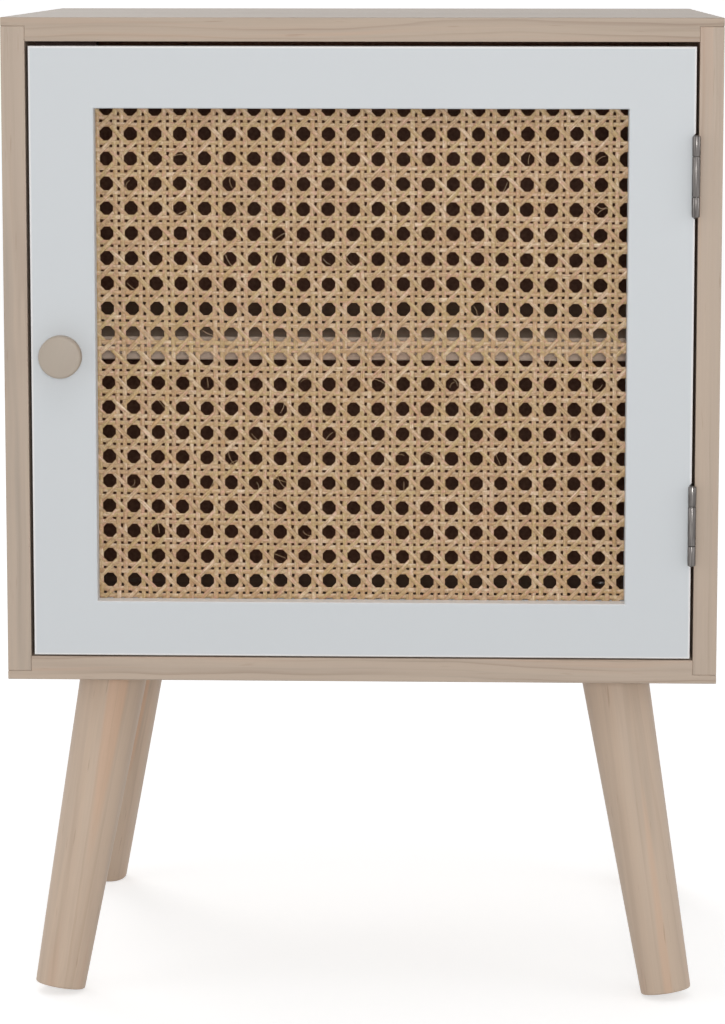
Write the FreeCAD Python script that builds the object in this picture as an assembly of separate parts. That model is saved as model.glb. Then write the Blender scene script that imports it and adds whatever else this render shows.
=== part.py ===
import FreeCAD, Part
import math
import os

# Storage side table with one cane-panelled door, in millimetres.
# +Z is up and the door faces -Y. Left and right are those of someone looking at the door.
# The origin is on the ground, midway across and midway between the knob's face and the back.

# Carcass
CABINET_WIDTH = 420.0
CABINET_DEPTH = 300.0
CABINET_HEIGHT = 392.0
BOARD_THICKNESS = 14.0
LIP_THICKNESS = 5.2  # what the end rebates leave of the top and bottom panels over the side panels' ends
BACK_THICKNESS = 3.0
BACK_LAP = 7.0  # how far the back panel laps onto the boards round it
BACK_CLEARANCE = 0.4
DOWEL_RADIUS = 3.0
DOWEL_IN_SIDE = 9.0
DOWEL_IN_PANEL = 15.0
DOWEL_END_DISTANCE = 45.0
DOWELS_PER_JOINT = 3
NAIL_RADIUS = 0.7
NAIL_LENGTH = 16.0
NAIL_HEAD_RADIUS = 1.7
NAIL_HEAD_THICKNESS = 0.6
NAIL_END_DISTANCE = 40.0
NAILS_PER_SIDE = 4
NAILS_PER_END = 3

# Shelf
SHELF_THICKNESS = 14.0
SHELF_HEIGHT = 173.0  # from the cabinet's floor to the shelf's underside
SHELF_SETBACK = 40.0
SHELF_CLEARANCE = 0.8
SHELF_PIN_RADIUS = 2.5
SHELF_PIN_IN_SIDE = 8.0
SHELF_PIN_OUT = 9.0
SHELF_PIN_INSET = 35.0

# Legs
LEG_DROP = 198.5
LEG_TOP_INSET = 58.5
LEG_FOOT_INSET = 25.4
LEG_TOP_RADIUS = 20.5
LEG_FOOT_RADIUS = 15.1
LEG_CHAMFER = 1.0
BOLT_RADIUS = 4.0
BOLT_IN_LEG = 32.0
BOLT_POINT = 4.0
BOLT_TOP_GAP = 1.0  # from the bolt's top to the cabinet's floor
T_NUT_RADIUS = 5.2
T_NUT_LENGTH = 10.0
T_NUT_FLANGE_RADIUS = 11.0
T_NUT_FLANGE_THICKNESS = 1.2

# Door frame
DOOR_THICKNESS = 16.0
GAP_LATCH = 1.9
GAP_HINGE = 1.8
GAP_TOP = 2.7
GAP_BOTTOM = 0.9
LATCH_STILE = 38.0
HINGE_STILE = 38.7
TOP_RAIL = 36.2
BOTTOM_RAIL = 32.6
DOOR_ARRIS = 0.9  # radius of the rounded edges on the door's face

# Cane panel and the strips that hold it
CANE_SETBACK = 10.0
CANE_THICKNESS = 1.6
CANE_REBATE = 9.0
CANE_CLEARANCE = 0.3
CANE_PITCH_ACROSS = 14.5
CANE_PITCH_UP = 14.7
CANE_HOLE = 7.3  # across the flats of a hole of the weave
CANE_HOLE_SIDES = 8
CANE_FIRST_ACROSS = 6.3  # from the window's left edge to the first column of holes
CANE_FIRST_UP = 12.4  # from the window's lower edge to the lowest row of holes
CANE_MARGIN = 1.0
BRAD_RADIUS = 0.7
BRAD_IN_FRAME = 5.0
BRAD_END_DISTANCE = 30.0
BRADS_PER_STRIP = 3

# Hinges
HINGE_LENGTH = 47.0
UPPER_HINGE_INSET = 75.0  # from the door's top to the middle of the upper hinge
LOWER_HINGE_INSET = 80.0  # from the door's bottom to the middle of the lower hinge
LEAF_THICKNESS = 1.2
LEAF_WIDTH = 13.0
LEAF_GAP = 0.8  # between the two leaves when the door is closed
OUTER_KNUCKLE = 11.6
KNUCKLE_GAP = 0.3
BARREL_CLEARANCE = 0.3  # between the barrel and the door's face
PIN_RADIUS = 1.15
PIN_CLEARANCE = 0.05
PIN_HEAD_RADIUS = 1.9
PIN_HEAD_THICKNESS = 0.6
RECESS_CLEARANCE = 0.3
HINGE_SCREW_RADIUS = 1.4
HINGE_SCREW_LENGTH = 11.0
HINGE_SCREW_HEAD_RADIUS = 2.6
HINGE_SCREW_HEAD_HEIGHT = 1.5
HINGE_SCREW_POINT = 2.5
HINGE_SCREW_SPACING = 30.0

# Knob
KNOB_PROJECTION = 20.0
KNOB_RADIUS = 12.5
KNOB_NECK_RADIUS = 7.5
KNOB_HEAD_THICKNESS = 9.0
KNOB_NECK_HEIGHT = 6.0
KNOB_ARRIS = 1.6
KNOB_SCREW_RADIUS = 2.0
KNOB_SCREW_IN_KNOB = 12.0
KNOB_SCREW_HEAD_RADIUS = 4.0
KNOB_SCREW_HEAD_HEIGHT = 2.4

# Magnetic catch
CATCH_INSET = 22.0  # from the left side panel's inner face to the middle of the catch
CATCH_WIDTH = 36.0
CATCH_HOUSING_WIDTH = 22.0
CATCH_DEPTH = 14.0
CATCH_HEIGHT = 13.0
CATCH_BASE_THICKNESS = 3.0
CATCH_WALL = 2.0
CATCH_GAP = 0.3  # between the pole plates and the strike plate when the door is closed
POLE_THICKNESS = 1.5
POLE_PROJECTION = 0.8
CATCH_SCREW_RADIUS = 1.3
CATCH_SCREW_IN_TOP = 8.0
CATCH_SCREW_HEAD_RADIUS = 2.4
CATCH_SCREW_HEAD_HEIGHT = 1.5
CATCH_SCREW_POINT = 2.0
STRIKE_WIDTH = 28.0
STRIKE_HEIGHT = 12.0
STRIKE_THICKNESS = 1.2
STRIKE_TOP_INSET = 1.0
STRIKE_SCREW_SPACING = 18.0
STRIKE_SCREW_LENGTH = 10.0
STRIKE_SCREW_RADIUS = 1.2
STRIKE_SCREW_HEAD_RADIUS = 2.2
STRIKE_SCREW_HEAD_HEIGHT = 1.0
STRIKE_SCREW_POINT = 2.0

# Planes that the pieces share
OUTER_X = CABINET_WIDTH / 2
INNER_X = OUTER_X - BOARD_THICKNESS
FRONT_Y = (KNOB_PROJECTION - CABINET_DEPTH) / 2
BACK_Y = FRONT_Y + CABINET_DEPTH
BACK_FACE_Y = BACK_Y - BACK_THICKNESS
UNDERSIDE_Z = LEG_DROP
FLOOR_Z = UNDERSIDE_Z + BOARD_THICKNESS
TOP_Z = UNDERSIDE_Z + CABINET_HEIGHT
CEILING_Z = TOP_Z - BOARD_THICKNESS

DOOR_LEFT_X = -INNER_X + GAP_LATCH
DOOR_RIGHT_X = INNER_X - GAP_HINGE
DOOR_BOTTOM_Z = FLOOR_Z + GAP_BOTTOM
DOOR_TOP_Z = CEILING_Z - GAP_TOP
DOOR_BACK_Y = FRONT_Y + DOOR_THICKNESS
WINDOW_X = (DOOR_LEFT_X + LATCH_STILE, DOOR_RIGHT_X - HINGE_STILE)
WINDOW_Z = (DOOR_BOTTOM_Z + BOTTOM_RAIL, DOOR_TOP_Z - TOP_RAIL)
CANE_FRONT_Y = FRONT_Y + CANE_SETBACK
CANE_BACK_Y = CANE_FRONT_Y + CANE_THICKNESS
FIRST_HOLE_X = WINDOW_X[0] + CANE_FIRST_ACROSS
FIRST_HOLE_Z = WINDOW_Z[0] + CANE_FIRST_UP

KNUCKLE_RADIUS = PIN_RADIUS + PIN_CLEARANCE + LEAF_THICKNESS
HINGE_X = INNER_X - LEAF_THICKNESS - LEAF_GAP / 2
HINGE_Y = FRONT_Y - KNUCKLE_RADIUS - BARREL_CLEARANCE
HINGE_HEIGHTS = (DOOR_TOP_Z - UPPER_HINGE_INSET, DOOR_BOTTOM_Z + LOWER_HINGE_INSET)

CATCH_X = -INNER_X + CATCH_INSET
POLE_FRONT_Y = DOOR_BACK_Y + STRIKE_THICKNESS + CATCH_GAP
CATCH_FRONT_Y = POLE_FRONT_Y + POLE_PROJECTION

ORIGIN = FreeCAD.Vector(0, 0, 0)
LEFT = FreeCAD.Vector(-1, 0, 0)
RIGHT = FreeCAD.Vector(1, 0, 0)
FORWARD = FreeCAD.Vector(0, -1, 0)
UP = FreeCAD.Vector(0, 0, 1)
DOWN = FreeCAD.Vector(0, 0, -1)


def block(x_limits, y_limits, z_limits):
    """A box between two limits on each axis."""
    limits = (x_limits, y_limits, z_limits)
    sizes = [high - low for low, high in limits]
    return Part.makeBox(*sizes, FreeCAD.Vector(*[low for low, high in limits]))


def turned(profile):
    """A solid turned about +Z from the (radius, height) corners of half its section."""
    corners = [FreeCAD.Vector(radius, 0, height) for radius, height in profile]
    section = Part.Face(Part.makePolygon(corners + corners[:1]))
    return section.revolve(ORIGIN, UP, 360)


def aimed(solid, base, direction):
    """A copy of a turned solid with its origin at base and its +Z along direction."""
    copy = solid.copy()
    copy.Placement = FreeCAD.Placement(base, FreeCAD.Rotation(UP, direction))
    return copy


def countersunk_screw(radius, length, head_radius, head_height, point):
    """A wood screw whose flat head lies in z = 0 and whose point is at -length."""
    profile = [(0, 0), (head_radius, 0), (radius, -head_height), (radius, point - length), (0, -length)]
    return turned(profile)


def pan_screw(radius, length, head_radius, head_height, point):
    """A screw whose head stands on z = 0 and whose point is at -length."""
    head = [(0, head_height), (head_radius, head_height), (head_radius, 0)]
    return turned(head + [(radius, 0), (radius, point - length), (0, -length)])


def spread(low, high, end_distance, count):
    """Places spaced evenly from one end distance inside low to the same inside high."""
    first = low + end_distance
    step = (high - low - 2 * end_distance) / (count - 1)
    return [first + step * index for index in range(count)]


def without(solid, tools):
    """The solid with every tool cut out of it."""
    return solid.cut(Part.makeCompound(tools))


# Fasteners of the carcass

def carcass_dowels():
    """Dowels that cross from the ends of the top and bottom panels into the side panels."""
    shoulder = BOARD_THICKNESS - LIP_THICKNESS
    heights = (FLOOR_Z - shoulder / 2, CEILING_Z + shoulder / 2)
    dowels = []
    for y in spread(FRONT_Y, BACK_Y, DOWEL_END_DISTANCE, DOWELS_PER_JOINT):
        for z in heights:
            for side in (-1, 1):
                base = FreeCAD.Vector(side * (INNER_X - DOWEL_IN_PANEL), y, z)
                length = DOWEL_IN_PANEL + DOWEL_IN_SIDE
                dowels.append(Part.makeCylinder(DOWEL_RADIUS, length, base, RIGHT * side))
    return dowels


def back_panel_nails():
    """Panel pins through the back panel into the boards' rear edges, with heads flush with the back."""
    nail = turned([
        (0, 0),
        (NAIL_HEAD_RADIUS, 0),
        (NAIL_HEAD_RADIUS, -NAIL_HEAD_THICKNESS),
        (NAIL_RADIUS, -NAIL_HEAD_THICKNESS),
        (NAIL_RADIUS, -NAIL_LENGTH),
        (0, -NAIL_LENGTH),
    ])
    lap = BACK_LAP / 2
    places = []
    for z in spread(FLOOR_Z, CEILING_Z, NAIL_END_DISTANCE, NAILS_PER_SIDE):
        places += [(-INNER_X - lap, z), (INNER_X + lap, z)]
    for x in spread(-INNER_X, INNER_X, NAIL_END_DISTANCE, NAILS_PER_END):
        places += [(x, FLOOR_Z - lap), (x, CEILING_Z + lap)]
    return [aimed(nail, FreeCAD.Vector(x, BACK_Y, z), -FORWARD) for x, z in places]


def shelf_pins():
    """Pegs in the side panels, under the shelf's ends."""
    height = FLOOR_Z + SHELF_HEIGHT - SHELF_PIN_RADIUS
    length = SHELF_PIN_IN_SIDE + SHELF_PIN_OUT
    pins = []
    for y in spread(FRONT_Y + SHELF_SETBACK, BACK_FACE_Y - SHELF_CLEARANCE, SHELF_PIN_INSET, 2):
        for side in (-1, 1):
            base = FreeCAD.Vector(side * (INNER_X - SHELF_PIN_OUT), y, height)
            pins.append(Part.makeCylinder(SHELF_PIN_RADIUS, length, base, RIGHT * side))
    return pins


# Legs and what holds them

def leg_places():
    """Where the legs' axes meet the cabinet's underside and the ground, as pairs of points by leg."""
    middle_y = (FRONT_Y + BACK_Y) / 2
    places = {}
    for row, toward_back in (("front", -1), ("rear", 1)):
        for side, toward_right in (("left", -1), ("right", 1)):
            ends = []
            for inset, z in ((LEG_TOP_INSET, UNDERSIDE_Z), (LEG_FOOT_INSET, 0)):
                x = toward_right * (OUTER_X - inset)
                y = middle_y + toward_back * (CABINET_DEPTH / 2 - inset)
                ends.append(FreeCAD.Vector(x, y, z))
            places[f"{row}_{side}_leg"] = ends
    return places


def leg(top, foot):
    """A tapered round leg, cut level at the top to meet the cabinet and square to its axis at the foot."""
    axis = top - foot
    tilt = axis.getAngle(UP)
    end_radius = LEG_FOOT_RADIUS - LEG_CHAMFER
    end_height = end_radius * math.sin(tilt)
    end = foot + axis * (end_height / LEG_DROP)
    length = (UNDERSIDE_Z - end_height) / math.cos(tilt)
    extra = 2 * LEG_TOP_RADIUS * math.tan(tilt)
    long_radius = LEG_FOOT_RADIUS + (LEG_TOP_RADIUS - LEG_FOOT_RADIUS) * (length + extra) / length
    blank = turned([
        (0, 0),
        (end_radius, 0),
        (LEG_FOOT_RADIUS, LEG_CHAMFER),
        (long_radius, length + extra),
        (0, length + extra),
    ])
    half_room = CABINET_WIDTH + CABINET_DEPTH
    below = block((-half_room, half_room), (-half_room, half_room), (0, UNDERSIDE_Z))
    return aimed(blank, end, axis).common(below)


def leg_hanger_bolts(places):
    """Upright bolts, with a pointed wood thread in the leg and a machine thread in the T-nut."""
    in_panel = BOARD_THICKNESS - BOLT_TOP_GAP
    bolt = turned([
        (0, in_panel),
        (BOLT_RADIUS, in_panel),
        (BOLT_RADIUS, BOLT_POINT - BOLT_IN_LEG),
        (0, -BOLT_IN_LEG),
    ])
    return [aimed(bolt, top, UP) for top, foot in places.values()]


def leg_t_nuts(places):
    """T-nuts whose flanges lie flush in the cabinet's floor."""
    bored = turned([
        (BOLT_RADIUS, 0),
        (T_NUT_FLANGE_RADIUS, 0),
        (T_NUT_FLANGE_RADIUS, -T_NUT_FLANGE_THICKNESS),
        (T_NUT_RADIUS, -T_NUT_FLANGE_THICKNESS),
        (T_NUT_RADIUS, -T_NUT_LENGTH),
        (BOLT_RADIUS, -T_NUT_LENGTH),
    ])
    return [aimed(bored, FreeCAD.Vector(top.x, top.y, FLOOR_Z), UP) for top, foot in places.values()]


def bolt_rooms(places):
    """The bores that the bolts share with the T-nuts, open to the cabinet's floor."""
    return [Part.makeCylinder(BOLT_RADIUS, BOARD_THICKNESS, top, UP) for top, foot in places.values()]


# Hinges: one leaf has the two outer knuckles and the pin, the other has the middle knuckle

def hinge_knuckle(z_limits, bore_radius):
    """A rolled knuckle about the hinges' axis between two heights."""
    base = FreeCAD.Vector(HINGE_X, HINGE_Y, z_limits[0])
    length = z_limits[1] - z_limits[0]
    barrel = Part.makeCylinder(KNUCKLE_RADIUS, length, base, UP)
    return barrel.cut(Part.makeCylinder(bore_radius, length, base, UP))


def hinge_leaf(knuckles, bore_radius, leaf_x, height, screws):
    """A leaf: a plate in the gap beside the door, with a tongue forward to each of its knuckles."""
    tongue_y = HINGE_Y + PIN_RADIUS + PIN_CLEARANCE
    plate_y = FRONT_Y + BARREL_CLEARANCE
    half = HINGE_LENGTH / 2
    plate = block(leaf_x, (plate_y, FRONT_Y + LEAF_WIDTH), (height - half, height + half))
    pieces = []
    for z_limits in knuckles:
        base = FreeCAD.Vector(HINGE_X, HINGE_Y, z_limits[0])
        bore = Part.makeCylinder(bore_radius, HINGE_LENGTH, base, UP)
        pieces.append(block(leaf_x, (tongue_y, plate_y), z_limits).cut(bore))
        pieces.append(hinge_knuckle(z_limits, bore_radius))
    return without(plate.fuse(pieces).removeSplitter(), screws)


def hinge_screws(height, face_x, direction):
    """Countersunk screws through one leaf, with their heads in its free face."""
    screw = countersunk_screw(
        HINGE_SCREW_RADIUS,
        HINGE_SCREW_LENGTH,
        HINGE_SCREW_HEAD_RADIUS,
        HINGE_SCREW_HEAD_HEIGHT,
        HINGE_SCREW_POINT,
    )
    y = FRONT_Y + LEAF_WIDTH / 2
    heights = (height - HINGE_SCREW_SPACING / 2, height + HINGE_SCREW_SPACING / 2)
    return [aimed(screw, FreeCAD.Vector(face_x, y, z), -direction) for z in heights]


def hinge_pin(height):
    """A pin through all three knuckles, with a peened head at each end."""
    half = HINGE_LENGTH / 2
    pin = turned([
        (0, -half - PIN_HEAD_THICKNESS),
        (PIN_RADIUS, -half - PIN_HEAD_THICKNESS),
        (PIN_HEAD_RADIUS, -half),
        (PIN_RADIUS, -half),
        (PIN_RADIUS, half),
        (PIN_HEAD_RADIUS, half),
        (PIN_RADIUS, half + PIN_HEAD_THICKNESS),
        (0, half + PIN_HEAD_THICKNESS),
    ])
    return aimed(pin, FreeCAD.Vector(HINGE_X, HINGE_Y, height), UP)


def hinge_recess(height):
    """The room for the door's leaf in the door's edge, with ends that slope out at 45 degrees."""
    depth_x = DOOR_RIGHT_X - (HINGE_X - LEAF_GAP / 2 - LEAF_THICKNESS)
    half = HINGE_LENGTH / 2 + RECESS_CLEARANCE
    bottom_x = DOOR_RIGHT_X - depth_x
    corners = [
        FreeCAD.Vector(bottom_x, FRONT_Y, height - half),
        FreeCAD.Vector(bottom_x, FRONT_Y, height + half),
        FreeCAD.Vector(DOOR_RIGHT_X, FRONT_Y, height + half + depth_x),
        FreeCAD.Vector(DOOR_RIGHT_X, FRONT_Y, height - half - depth_x),
    ]
    outline = Part.Face(Part.makePolygon(corners + corners[:1]))
    return outline.extrude(-FORWARD * (LEAF_WIDTH + RECESS_CLEARANCE))


def hinge(height):
    """The pieces of one hinge, by name."""
    low = height - HINGE_LENGTH / 2
    high = height + HINGE_LENGTH / 2
    outer = [(low, low + OUTER_KNUCKLE), (high - OUTER_KNUCKLE, high)]
    middle = [(low + OUTER_KNUCKLE + KNUCKLE_GAP, high - OUTER_KNUCKLE - KNUCKLE_GAP)]
    cabinet_face_x = HINGE_X + LEAF_GAP / 2
    door_face_x = HINGE_X - LEAF_GAP / 2
    cabinet_screws = hinge_screws(height, cabinet_face_x, RIGHT)
    door_screws = hinge_screws(height, door_face_x, LEFT)
    cabinet_x = (cabinet_face_x, cabinet_face_x + LEAF_THICKNESS)
    door_x = (door_face_x - LEAF_THICKNESS, door_face_x)
    return {
        "cabinet_leaf": hinge_leaf(outer, PIN_RADIUS, cabinet_x, height, cabinet_screws),
        "door_leaf": hinge_leaf(middle, PIN_RADIUS + PIN_CLEARANCE, door_x, height, door_screws),
        "pin": hinge_pin(height),
        "cabinet_screws": cabinet_screws,
        "door_screws": door_screws,
        "recess": hinge_recess(height),
    }


# Magnetic catch

def catch_parts():
    """The catch's housing, magnet, pole plates and screws, under the top panel."""
    base_z = CEILING_Z - CATCH_BASE_THICKNESS
    low_z = CEILING_Z - CATCH_HEIGHT
    back_y = CATCH_FRONT_Y + CATCH_DEPTH
    depth = (CATCH_FRONT_Y, back_y)
    half_base = CATCH_WIDTH / 2
    half_housing = CATCH_HOUSING_WIDTH / 2
    base = block((CATCH_X - half_base, CATCH_X + half_base), depth, (base_z, CEILING_Z))
    housing = block((CATCH_X - half_housing, CATCH_X + half_housing), depth, (low_z, base_z))
    pocket_x = (CATCH_X - half_housing + CATCH_WALL, CATCH_X + half_housing - CATCH_WALL)
    pocket_y = (CATCH_FRONT_Y, back_y - CATCH_WALL)
    pocket_z = (low_z + CATCH_WALL, base_z)
    magnet_z = (pocket_z[0] + POLE_THICKNESS, pocket_z[1] - POLE_THICKNESS)
    pole_y = (POLE_FRONT_Y, pocket_y[1])
    poles = [
        block(pocket_x, pole_y, (pocket_z[0], magnet_z[0])),
        block(pocket_x, pole_y, (magnet_z[1], pocket_z[1])),
    ]
    screw = pan_screw(
        CATCH_SCREW_RADIUS,
        CATCH_BASE_THICKNESS + CATCH_SCREW_IN_TOP,
        CATCH_SCREW_HEAD_RADIUS,
        CATCH_SCREW_HEAD_HEIGHT,
        CATCH_SCREW_POINT,
    )
    reach = (half_base + half_housing) / 2
    middle_y = CATCH_FRONT_Y + CATCH_DEPTH / 2
    places = [FreeCAD.Vector(CATCH_X + side * reach, middle_y, base_z) for side in (-1, 1)]
    screws = [aimed(screw, place, DOWN) for place in places]
    body =base.fuse(housing).removeSplitter().cut(block(pocket_x, pocket_y, pocket_z))
    return {
        "body": without(body, screws),
        "magnet": block(pocket_x, pocket_y, magnet_z),
        "poles": poles,
        "screws": screws,
    }


def strike_parts():
    """The steel plate on the back of the door that the catch pulls on, and its screws."""
    high_z = DOOR_TOP_Z - STRIKE_TOP_INSET
    middle_z = high_z - STRIKE_HEIGHT / 2
    face_y = DOOR_BACK_Y + STRIKE_THICKNESS
    half = STRIKE_WIDTH / 2
    plate_x = (CATCH_X - half, CATCH_X + half)
    plate = block(plate_x, (DOOR_BACK_Y, face_y), (high_z - STRIKE_HEIGHT, high_z))
    screw = countersunk_screw(
        STRIKE_SCREW_RADIUS,
        STRIKE_SCREW_LENGTH,
        STRIKE_SCREW_HEAD_RADIUS,
        STRIKE_SCREW_HEAD_HEIGHT,
        STRIKE_SCREW_POINT,
    )
    reach = STRIKE_SCREW_SPACING / 2
    places = [FreeCAD.Vector(CATCH_X + side * reach, face_y, middle_z) for side in (-1, 1)]
    screws = [aimed(screw, place, -FORWARD) for place in places]
    return without(plate, screws), screws


# Carcass

def shelf():
    """The loose shelf on its pegs."""
    half = INNER_X - SHELF_CLEARANCE
    depth = (FRONT_Y + SHELF_SETBACK, BACK_FACE_Y - SHELF_CLEARANCE)
    low_z = FLOOR_Z + SHELF_HEIGHT
    return block((-half, half), depth, (low_z, low_z + SHELF_THICKNESS))


def back_pocket(clearance):
    """The back panel's place in the rear edges of the boards, drawn in by a clearance all round."""
    reach = BACK_LAP - clearance
    return block(
        (-INNER_X - reach, INNER_X + reach),
        (BACK_FACE_Y, BACK_Y),
        (FLOOR_Z - reach, CEILING_Z + reach),
    )


def side_panel(side, tools):
    """A side panel between the lips of the top and bottom panels."""
    x_limits = sorted((side * INNER_X, side * OUTER_X))
    blank = block(x_limits, (FRONT_Y, BACK_Y), (UNDERSIDE_Z + LIP_THICKNESS, TOP_Z - LIP_THICKNESS))
    return without(blank, tools)


def end_panel(outer_z, inner_z, tools):
    """The top or bottom panel, with a rebate at each end for the side panels."""
    lip_z = outer_z + math.copysign(LIP_THICKNESS, inner_z - outer_z)
    lip = block((-OUTER_X, OUTER_X), (FRONT_Y, BACK_Y), sorted((outer_z, lip_z)))
    core = block((-INNER_X, INNER_X), (FRONT_Y, BACK_Y), sorted((lip_z, inner_z)))
    return without(lip.fuse(core).removeSplitter(), tools)


# Door

def door_frame(tools):
    """The door frame in one piece, rebated behind its window, with rounded edges on its face."""
    blank = block((DOOR_LEFT_X, DOOR_RIGHT_X), (FRONT_Y, DOOR_BACK_Y), (DOOR_BOTTOM_Z, DOOR_TOP_Z))
    frame = blank.cut(block(WINDOW_X, (FRONT_Y, DOOR_BACK_Y), WINDOW_Z))
    face_edges = [edge for edge in frame.Edges if edge.BoundBox.YMax < FRONT_Y + DOOR_ARRIS]
    rounded = frame.makeFillet(DOOR_ARRIS, face_edges)
    rebate_x = (WINDOW_X[0] - CANE_REBATE, WINDOW_X[1] + CANE_REBATE)
    rebate_z = (WINDOW_Z[0] - CANE_REBATE, WINDOW_Z[1] + CANE_REBATE)
    return without(rounded, [block(rebate_x, (CANE_FRONT_Y, DOOR_BACK_Y), rebate_z)] + tools)


def between_holes(place, first_hole, pitch):
    """The middle of the solid cane between the two holes on either side of a place."""
    return first_hole + (math.floor((place - first_hole) / pitch) + 1 / 2) * pitch


def brad_places():
    """Where the brads stand, along the middles of the strips and between the cane's holes, as (x, z)."""
    middle = (CANE_REBATE - CANE_CLEARANCE) / 2
    places = []
    for place in spread(*WINDOW_X, BRAD_END_DISTANCE, BRADS_PER_STRIP):
        x = between_holes(place, FIRST_HOLE_X, CANE_PITCH_ACROSS)
        places += [(x, WINDOW_Z[0] - middle), (x, WINDOW_Z[1] + middle)]
    for place in spread(*WINDOW_Z, BRAD_END_DISTANCE, BRADS_PER_STRIP):
        z = between_holes(place, FIRST_HOLE_Z, CANE_PITCH_UP)
        places += [(WINDOW_X[0] - middle, z), (WINDOW_X[1] + middle, z)]
    return places


def cane_hole_places(sheet_x, sheet_z):
    """The middles of the weave's holes that lie whole inside the sheet, as (x, z)."""
    room = CANE_HOLE / 2 + CANE_MARGIN
    columns = int((sheet_x[1] - room - FIRST_HOLE_X) / CANE_PITCH_ACROSS) + 1
    rows = int((sheet_z[1] - room - FIRST_HOLE_Z) / CANE_PITCH_UP) + 1
    places = []
    for column in range(columns):
        for row in range(rows):
            places.append((FIRST_HOLE_X + column * CANE_PITCH_ACROSS, FIRST_HOLE_Z + row * CANE_PITCH_UP))
    return places


def cane_panel():
    """The cane as a sheet with the many-sided holes of its weave and the round holes of its brads."""
    reach = CANE_REBATE - CANE_CLEARANCE
    sheet_x = (WINDOW_X[0] - reach, WINDOW_X[1] + reach)
    sheet_z = (WINDOW_Z[0] - reach, WINDOW_Z[1] + reach)
    outline = [
        (sheet_x[0], sheet_z[0]),
        (sheet_x[1], sheet_z[0]),
        (sheet_x[1], sheet_z[1]),
        (sheet_x[0], sheet_z[1]),
    ]
    half_side = math.pi / CANE_HOLE_SIDES
    corner_radius = CANE_HOLE / 2 / math.cos(half_side)
    clockwise = [half_side - 2 * half_side * index for index in range(CANE_HOLE_SIDES)]
    hole = [(corner_radius * math.cos(turn), corner_radius * math.sin(turn)) for turn in clockwise]
    outlines = [outline]
    for x, z in cane_hole_places(sheet_x, sheet_z):
        outlines.append([(x + dx, z + dz) for dx, dz in hole])
    wires = []
    for points in outlines:
        corners = [FreeCAD.Vector(x, CANE_FRONT_Y, z) for x, z in points]
        wires.append(Part.makePolygon(corners + corners[:1]))
    for x, z in brad_places():
        ring = Part.Circle(FreeCAD.Vector(x, CANE_FRONT_Y, z), -FORWARD, BRAD_RADIUS)
        wires.append(Part.Wire(ring.toShape()))
    return Part.Face(wires).extrude(-FORWARD * CANE_THICKNESS)


def cane_strips():
    """The four strips that fill the rebate behind the cane: two full-width ones, and two between them."""
    reach = CANE_REBATE - CANE_CLEARANCE
    full_x = (WINDOW_X[0] - reach, WINDOW_X[1] + reach)
    depth = (CANE_BACK_Y, DOOR_BACK_Y)
    return {
        "upper_cane_strip": block(full_x, depth, (WINDOW_Z[1], WINDOW_Z[1] + reach)),
        "lower_cane_strip": block(full_x, depth, (WINDOW_Z[0] - reach, WINDOW_Z[0])),
        "left_cane_strip": block((WINDOW_X[0] - reach, WINDOW_X[0]), depth, WINDOW_Z),
        "right_cane_strip": block((WINDOW_X[1], WINDOW_X[1] + reach), depth, WINDOW_Z),
    }


def cane_strip_brads():
    """Brads through the strips and the cane into the frame."""
    length = DOOR_BACK_Y - CANE_FRONT_Y + BRAD_IN_FRAME
    bases = [FreeCAD.Vector(x, DOOR_BACK_Y, z) for x, z in brad_places()]
    return [Part.makeCylinder(BRAD_RADIUS, length, base, FORWARD) for base in bases]


def knob_place():
    """The middle of the left stile, half way up the door, on its face."""
    return FreeCAD.Vector(DOOR_LEFT_X + LATCH_STILE / 2, FRONT_Y, (DOOR_BOTTOM_Z + DOOR_TOP_Z) / 2)


def door_knob(screw):
    """A turned knob: a neck that widens to a flat-faced head with rounded rims."""
    head_low = KNOB_PROJECTION - KNOB_HEAD_THICKNESS
    blank = turned([
        (0, 0),
        (KNOB_NECK_RADIUS, 0),
        (KNOB_NECK_RADIUS, KNOB_NECK_HEIGHT),
        (KNOB_RADIUS, head_low),
        (KNOB_RADIUS, KNOB_PROJECTION),
        (0, KNOB_PROJECTION),
    ])
    head = [edge for edge in blank.Edges if edge.BoundBox.ZMin > head_low - KNOB_ARRIS]
    rim = [edge for edge in head if edge.BoundBox.XLength > KNOB_RADIUS]
    return aimed(blank.makeFillet(KNOB_ARRIS, rim), knob_place(), FORWARD).cut(screw)


def knob_screw():
    """A pan-head screw from behind the door into the knob."""
    screw = pan_screw(
        KNOB_SCREW_RADIUS,
        DOOR_THICKNESS + KNOB_SCREW_IN_KNOB,
        KNOB_SCREW_HEAD_RADIUS,
        KNOB_SCREW_HEAD_HEIGHT,
        0,
    )
    place = knob_place()
    return aimed(screw, FreeCAD.Vector(place.x, DOOR_BACK_Y, place.z), -FORWARD)


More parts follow.
